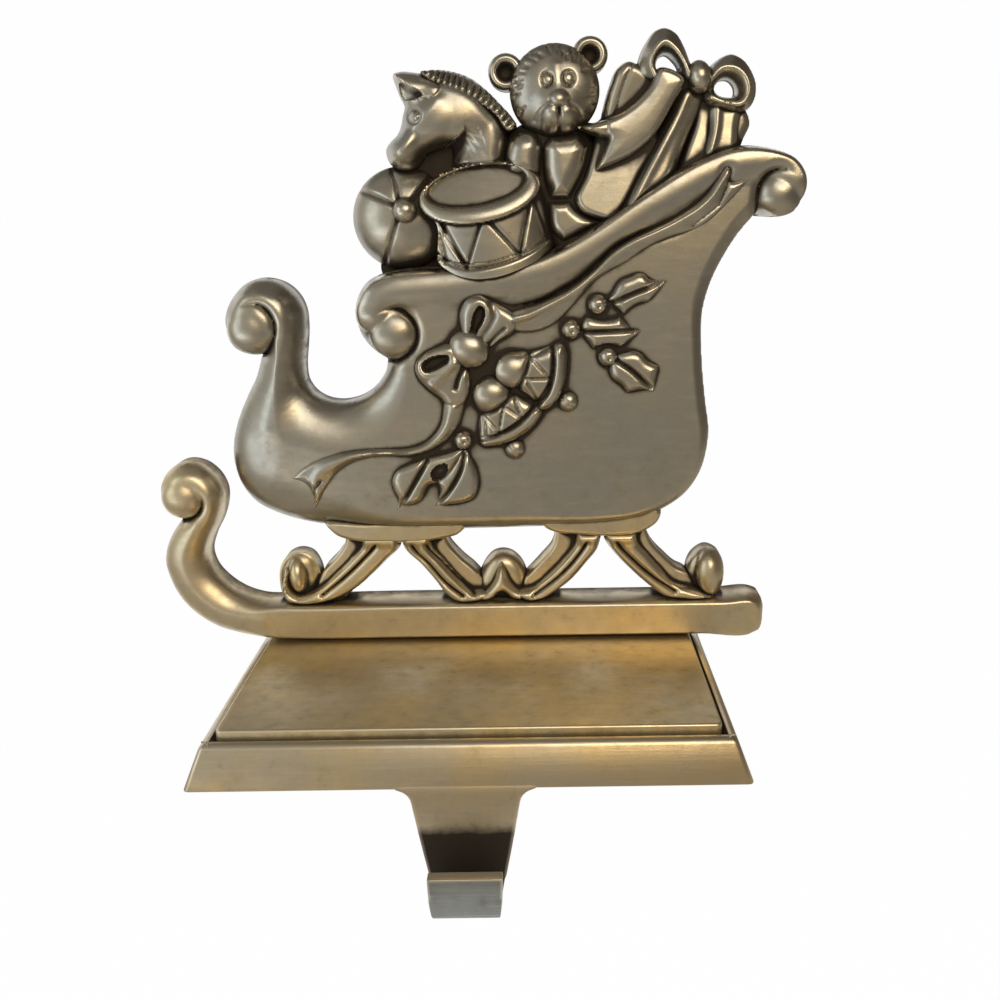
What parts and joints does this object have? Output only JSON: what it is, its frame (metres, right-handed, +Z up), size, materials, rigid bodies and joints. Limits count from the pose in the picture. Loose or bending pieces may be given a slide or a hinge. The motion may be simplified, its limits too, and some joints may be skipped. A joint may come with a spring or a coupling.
{
  "type": "mantel stocking holder",
  "caption": "Mantel stocking holder: a flared tray with a curled hook at its front, a plate let into it, and a cast sleigh full of toys standing on top.",
  "frame": {"origin": "middle of the tray's footprint, on the mantel, at the underside of the felt", "axes": "+X to the right as seen from the hook's side, +Y from the hook towards the back of the mantel, +Z up"},
  "size_m": [0.1641, 0.0864, 0.1888],
  "materials": {
    "sleigh_metal": "antiqued cast metal, warm pewter with dark patina in the recesses",
    "base_metal": "antiqued, brushed along X",
    "plate_metal": "brushed along X, bright bevel",
    "screw_steel": "plain steel",
    "felt": "dark brown felt"
  },
  "bodies": {
    "root": {"sleigh_casting": "sleigh_metal", "base_casting": "base_metal", "weight_plate": "plate_metal", "figure_screws": "screw_steel", "felt_pad": "felt"}
  },
  "joints": []
}
